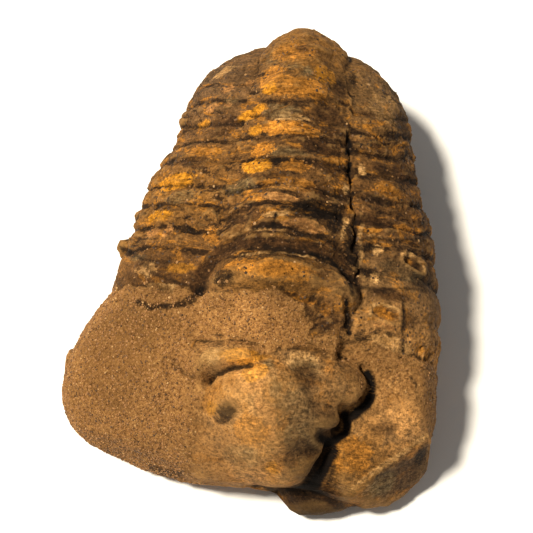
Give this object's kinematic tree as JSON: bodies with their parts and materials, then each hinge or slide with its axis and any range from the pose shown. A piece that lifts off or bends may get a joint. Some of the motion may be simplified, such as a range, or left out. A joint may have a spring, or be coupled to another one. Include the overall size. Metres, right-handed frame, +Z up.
{
  "type": "trilobite fossil",
  "caption": "Loose solid trilobite fossil, partly rolled up with its tail curled under, sandy stone still over a cheek; rests back up on its flat underside.",
  "frame": {"origin": "on the resting plane, under the midline of the back and about halfway along the body", "axes": "+Y from the head towards the tail, +Z up out of the back, +X to the animal's left when the head faces the viewer's side"},
  "size_m": [0.0493, 0.0649, 0.0286],
  "materials": {
    "fossil_stone": "weathered, matt, iron-stained"
  },
  "bodies": {
    "root": {"trilobite": "fossil_stone"}
  },
  "joints": []
}
